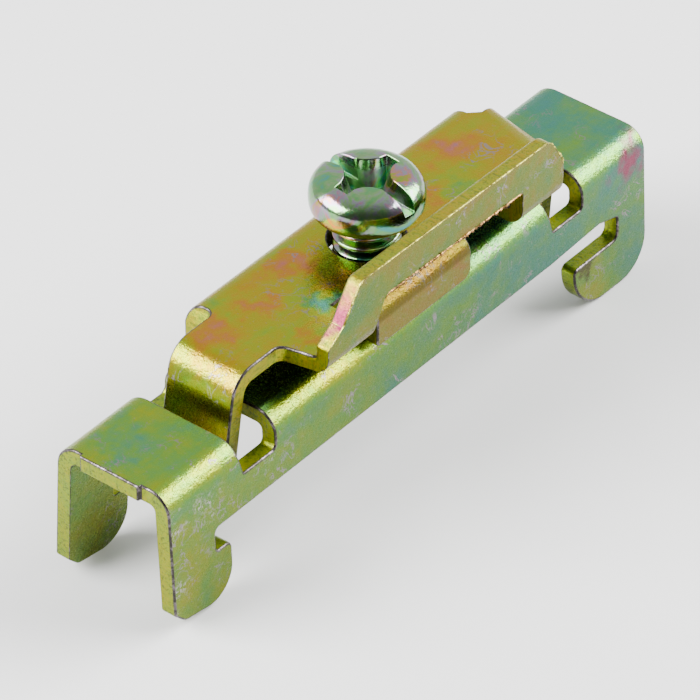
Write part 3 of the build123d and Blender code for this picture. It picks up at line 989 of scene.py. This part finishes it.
@dataclass
class ClampScrew:
    """Pan head screw: a head with a wide cross recess and a slot, and a thread, each a surface."""

    node: str = "clamp_screw"
    body: str = "screw"
    slot: str = "screw_zinc"
    axis_x: float = 0.77
    axis_y: float = 0.6077
    head_under: float = 14.30
    head_top: float = 16.70
    head_widest: float = 15.21
    head_r: float = 3.34
    rim_r: float = 2.93
    bulge_r: float = 4.0
    bulge_z: float = 2.5
    tip_z: float = 4.30
    major_r: float = 1.97
    minor_r: float = 1.52
    pitch: float = 0.70
    run_out: float = 0.30
    chamfer: float = 0.60
    turn: float = 85.0
    slot_half: float = 0.52
    slot_floor: float = 15.48
    slot_steepness: float = 9.0
    arm_half: float = 0.52
    arm_end: float = 2.15
    arm_flare: float = 0.22
    arm_flare_end: float = 1.6
    arm_blend: float = 1.0
    recess_floor: float = 14.95
    floor_cone: float = 0.30
    floor_cone_r: float = 1.4
    wall_lean: float = 15.0
    lip: float = 0.06
    finish: ScrewFinish = ScrewFinish()

    def thread(self) -> np.ndarray:
        """The threaded shank.

        The radius at height z and angle a follows a triangle wave of z / pitch - a / turn, flattened at
        crest and root. It fades to the root under the head and is cut to a cone at the tip.

        Returns:
            A grid of points whose columns go round the axis.
        """
        rows_a_turn, cols = 18, 96
        top = self.head_under + 0.3
        z = np.linspace(self.tip_z, top, int((top - self.tip_z) / self.pitch * rows_a_turn))[:, None]
        a = np.linspace(0, 2 * np.pi, cols, endpoint=False)[None, :]
        wave = 1 - np.abs(2 * np.mod(z / self.pitch - a / (2 * np.pi), 1.0) - 1)
        flank = np.clip(wave * 1.5 - 0.22, 0, 1)
        flank = 0.5 * flank + 0.5 * flank * flank * (3 - 2 * flank)
        fade = np.clip((self.head_under - z) / self.run_out, 0, 1)
        r = self.minor_r + (self.major_r - self.minor_r) * flank * fade
        r = np.minimum(r, self.major_r - self.chamfer + (z - self.tip_z))
        return np.stack([self.axis_x + r * np.cos(a), self.axis_y + r * np.sin(a), z + 0 * a], axis=2)

    def outline(self) -> tuple[np.ndarray, np.ndarray]:
        """The head's profile, from inside the neck to the crown's centre, in even steps.

        Above its widest place the head follows (r/R)^bulge_r + (z/H)^bulge_z = 1, below it a tighter
        curve of the same kind that ends at the flat underside.

        Returns:
            Radius and height.
        """
        step = 0.02
        t = np.linspace(0, np.pi / 2, 4000)
        up_r = self.head_r * np.cos(t) ** (2 / self.bulge_r)
        up_z = self.head_widest + (self.head_top - self.head_widest) * np.sin(t) ** (2 / self.bulge_z)
        low_r = self.rim_r + (self.head_r - self.rim_r) * np.sin(t)
        low_z = self.head_widest - (self.head_widest - self.head_under) * np.cos(t) ** (2 / self.bulge_z)
        r = np.r_[self.minor_r - 0.2, low_r, up_r]
        z = np.r_[self.head_under, low_z, up_z]
        length = np.r_[0, np.cumsum(np.hypot(np.diff(r), np.diff(z)))]
        s = np.arange(0, length[-1], step)
        return np.interp(s, length, r), np.interp(s, length, z)

    def recess(self, x: np.ndarray, y: np.ndarray) -> np.ndarray:
        """Height of the driver recess over the head's own plane.

        The cross is two crossed bars whose distance fields are blended, so the four lobes between them
        have round noses; its walls lean by `wall_lean` degrees down to a shallow cone. The slot is one
        straight bar with steep walls that runs out through the rim.

        Args:
            x: distance from the axis across the slot.
            y: distance from the axis along the slot.

        Returns:
            The recess's height at each point, far above the head outside it.
        """
        bar = []
        for u, v in ((np.abs(x), np.abs(y)), (np.abs(y), np.abs(x))):
            flare = self.arm_flare * np.clip(self.arm_flare_end - u, 0, self.arm_flare_end)
            bar.append(np.maximum(u - self.arm_end, v - self.arm_half - flare))
        k = self.arm_blend
        h = np.clip(0.5 + 0.5 * (bar[1] - bar[0]) / k, 0, 1)
        away = bar[1] * (1 - h) + bar[0] * h - k * h * (1 - h)
        cone = self.floor_cone * (1 - np.clip(np.hypot(x, y) / self.floor_cone_r, 0, 1))
        cross = self.head_top + away / math.tan(math.radians(self.wall_lean))
        slot = self.head_top + (np.abs(x) - self.slot_half) * self.slot_steepness
        return np.minimum(np.maximum(cross, self.recess_floor - cone), np.maximum(slot, self.slot_floor))

    def head(self) -> np.ndarray:
        """The head: the profile turned about the axis, with the recess pressed into its top.

        The columns crowd at the walls of the slot and of the arms. The recess meets the head in a lip
        that is rounded by a parabola.

        Returns:
            A grid of points whose columns go round the axis.
        """
        cols = 440
        r, z = self.outline()
        even = np.linspace(0, 2 * np.pi, 2000, endpoint=False)
        crowd = 1 + 3.5 * np.exp(-(np.cos(even) / 0.28) ** 2) + 1.5 * np.exp(-(np.sin(even) / 0.35) ** 2)
        crowd = np.cumsum(crowd)
        a = np.interp(np.arange(cols) / cols * crowd[-1], crowd - crowd[0], even)
        x, y = r[:, None] * np.cos(a), r[:, None] * np.sin(a)
        floor = self.recess(x, y)
        high = z[:, None] + 0 * a
        gap, lip = floor - high, self.lip
        pressed = np.where(gap < lip, floor - np.clip(gap + lip, 0, 2 * lip) ** 2 / (4 * lip), high)
        above = (z > self.head_widest + 0.02)[:, None]
        height = np.where(above, np.minimum(pressed, high), high)
        turn = math.radians(self.turn - 90)
        return np.stack([self.axis_x + x * math.cos(turn) - y * math.sin(turn),
                         self.axis_y + x * math.sin(turn) + y * math.cos(turn), height], axis=2)

    def closed(self, name: str, points: np.ndarray, material: bpy.types.Material) -> None:
        """Makes a closed piece of the screw.

        Args:
            name: the piece's name.
            points: its grid, whose columns go round the axis.
            material: its finish.
        """
        ends = points[[0, -1]].mean(axis=1, keepdims=True).repeat(points.shape[1], axis=1)
        obj = surface(name, np.concatenate([ends[:1], points, ends[1:]]) * MM, True)
        close_up(obj.data)
        obj.data.materials.append(material)
        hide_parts(self.node)
        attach(obj, self.body)
        log.info("%s: %d faces", obj.name, len(obj.data.polygons))

    def build(self) -> None:
        """Makes the head and the thread in place of the solid."""
        material = self.finish.build()
        self.closed("clamp_screw_head", self.head(), material)
        self.closed("clamp_screw_thread", self.thread(), material)


@dataclass
class Studio:
    """Pale floor, soft lights and the camera at the photograph's viewing angle."""

    camera_at: Vec3 = (-211.08, -167.7824, 218.9336)
    right: Vec3 = (0.6258915, -0.7799086, 0.0015252)
    down: Vec3 = (-0.4842499, -0.3901513, -0.7831245)
    ahead: Vec3 = (0.6113606, 0.4894124, -0.6218631)
    lens: float = 310.716
    sensor: float = 36.0
    floor_half: float = 2500.0
    floor_z: float = -0.02
    floor_albedo: float = 0.50
    aim: Vec3 = (0.0, 0.0, 8.0)
    pale_side: Vec3 = (0.78, 0.62, 0.0)
    dark_sky: float = 0.16
    pale_sky: float = 1.60

    def camera(self) -> None:
        """Makes the camera from its three directions."""
        data = bpy.data.cameras.new("camera")
        data.sensor_width = self.sensor
        data.lens = self.lens
        data.clip_start, data.clip_end = 0.01, 10.0
        obj = linked("camera", data)
        stand(obj, (self.right, -np.array(self.down), -np.array(self.ahead)), np.array(self.camera_at) * MM)
        bpy.context.scene.camera = obj

    def floor(self) -> None:
        """Makes the floor, level with the lowest point of the part."""
        x, y = np.meshgrid(*[np.linspace(-self.floor_half, self.floor_half, 3)] * 2, indexing="ij")
        obj = surface("floor", np.stack([x, y, np.full_like(x, self.floor_z)], axis=2) * MM, False)
        grey = (self.floor_albedo,) * 3
        obj.data.materials.append(Nodes("floor").close({"Base Color": (*grey, 1.0), "Roughness": 0.6}))

    def light(self, name: str, at: Vec3, size: tuple[float, float], watts: float) -> None:
        """Makes a soft rectangular light that faces the part.

        Args:
            name: the light's name.
            at: its place.
            size: its width and height.
            watts: its power.
        """
        data = bpy.data.lights.new(name, "AREA")
        data.shape = "RECTANGLE"
        data.size, data.size_y = np.array(size) * MM
        data.energy = watts
        z = np.array(at) - self.aim
        z /= np.linalg.norm(z)
        x = np.cross((0, 0, 1), z)
        x /= np.linalg.norm(x)
        stand(linked(name, data), (x, np.cross(z, x), z), np.array(at) * MM)

    def sky(self) -> None:
        """Makes the surroundings: pale beyond the part, dark on the side of the viewer."""
        world = bpy.data.worlds.new("studio")
        world.use_nodes = True
        n = Tree(world.node_tree)
        back = n.tree.nodes["Background"]
        back.inputs["Color"].default_value = (1.0, 1.0, 1.0, 1.0)
        towards = n.vector("DOT_PRODUCT", n.add("ShaderNodeTexCoord").outputs["Generated"], self.pale_side)
        strength = n.remap(towards.outputs["Value"], -0.9, 0.8, self.dark_sky, self.pale_sky)
        n.tree.links.new(strength, back.inputs["Strength"])
        bpy.context.scene.world = world

    def build(self) -> None:
        """Sets up the camera, floor, sky and lights."""
        self.camera()
        self.floor()
        self.sky()
        self.light("left softbox", (-360.0, 300.0, 330.0), (460.0, 400.0), 18.0)
        self.light("right softbox", (360.0, -260.0, 340.0), (480.0, 420.0), 15.0)
        log.info("studio: camera %.0f mm away", np.linalg.norm(self.camera_at))


CHANNEL_FILM = FilmFinish(
    "channel film", even=0.26, drift=-0.0045, clouds=0.28, streaks=0.12, streak_turn=20.0, fold_shift=0.10,
    seed=2.0,
    patches=(((20.6, -3.7, 8.2), 2.4, -0.18), ((-18.9, 2.6, 9.5), 2.6, -0.16),
             ((-20.6, 0.8, 9.5), 1.6, -0.14), ((-19.5, -3.5, 3.5), 4.5, 0.08),
             ((16.8, -3.9, 1.6), 4.2, 0.20)),
    scuffs=(((-18.6, -3.5, 7.3), 1.6), ((-21.3, -3.5, 7.4), 1.2), ((-21.5, -3.5, 3.0), 1.5),
            ((-13.4, -3.5, 7.0), 0.7)),
    veins=(((-19.6, 2.4, 9.5), 1.6), ((-20.5, -3.5, 4.5), 3.0)),
    stains=(((15.3, -3.9, 3.4), 1.7),), blushes=(((20.4, -3.7, 8.3), 2.0),))
PLATE_FILM = FilmFinish(
    "plate film", even=0.53, clouds=0.26, streaks=0.16, fold_shift=0.02, seed=7.0, wall_shade=0.47,
    patches=(((-7.7, 1.4, 12.1), 1.6, 0.26), ((-11.3, 2.1, 12.0), 2.0, 0.24),
             ((-3.8, 2.2, 12.1), 2.0, 0.26), ((-5.3, -1.1, 12.1), 1.5, -0.42),
             ((-8.3, -2.8, 12.1), 1.3, 0.22), ((10.4, 2.4, 12.1), 2.2, 0.20),
             ((7.6, -0.9, 12.1), 1.8, -0.20), ((6.1, 0.1, 12.1), 1.6, 0.18),
             ((-9.0, 3.6, 12.0), 1.8, -0.18), ((3.4, -3.9, 10.6), 1.4, 0.16),
             ((-7.2, -4.9, 14.5), 3.4, -0.26), ((10.2, -4.9, 13.8), 2.2, -0.16),
             *(((x, -5.0, 14.2), 2.4, -0.13) for x in (-3.5, -1.0, 1.5, 4.0, 6.5, 8.5))),
    veins=(((-6.2, 0.9, 12.1), 2.4), ((-6.8, -1.7, 12.1), 2.2)),
    # painted shade over the tab's fold, where it lies under the fin
    painted_shades=(((-4.6, -5.3, 11.15), (5.4, -3.3, 12.0)),))


def cuts(name: str, **settings: object) -> tuple[ShearedFinish, ...]:
    """The finishes of one sheet's cut faces, in the order of Across."""
    return tuple(ShearedFinish(f"{name} cut {across.name}", across, **settings) for across in Across)


def main() -> None:
    """Builds the pieces in order."""
    logging.basicConfig(level=logging.INFO, format="%(name)s: %(message)s")
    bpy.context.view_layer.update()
    BaseChannel(
        node="base_channel", body="channel", slot="channel_zinc", film=CHANNEL_FILM,
        sheared=cuts("channel", film=0.43, swing=0.14, marks=0.35, seed=1.0),
        edge=EdgeFinish("channel edges")).build()
    plate = ClampPlate(
        node="clamp_plate", body="plate", slot="plate_zinc", film=PLATE_FILM,
        sheared=cuts("plate", film=0.50, swing=0.16, marks=0.8, seed=5.0,
                     patches=(((-7.9, -4.4, 14.8), 1.7, 0.30),), blushes=(((-7.8, -4.4, 14.5), 2.2),)),
        edge=EdgeFinish("plate edges"), calm_corners=((-5.38, -3.69, 12.15), (-5.38, -4.88, 12.15)))
    plate.build()
    # the burrs' dark tones are partly painted shade along their lips
    plate.burrs(EdgeFinish("bright burr", (0.58, 0.54, 0.10), (0.07, 0.055, 0.008), 0.48, 0.40),
                EdgeFinish("copper burr", (0.50, 0.26, 0.09), (0.05, 0.028, 0.010), 0.52, 0.30))
    ClampScrew().build()
    Studio().build()


if __name__ == "__main__":
    main()
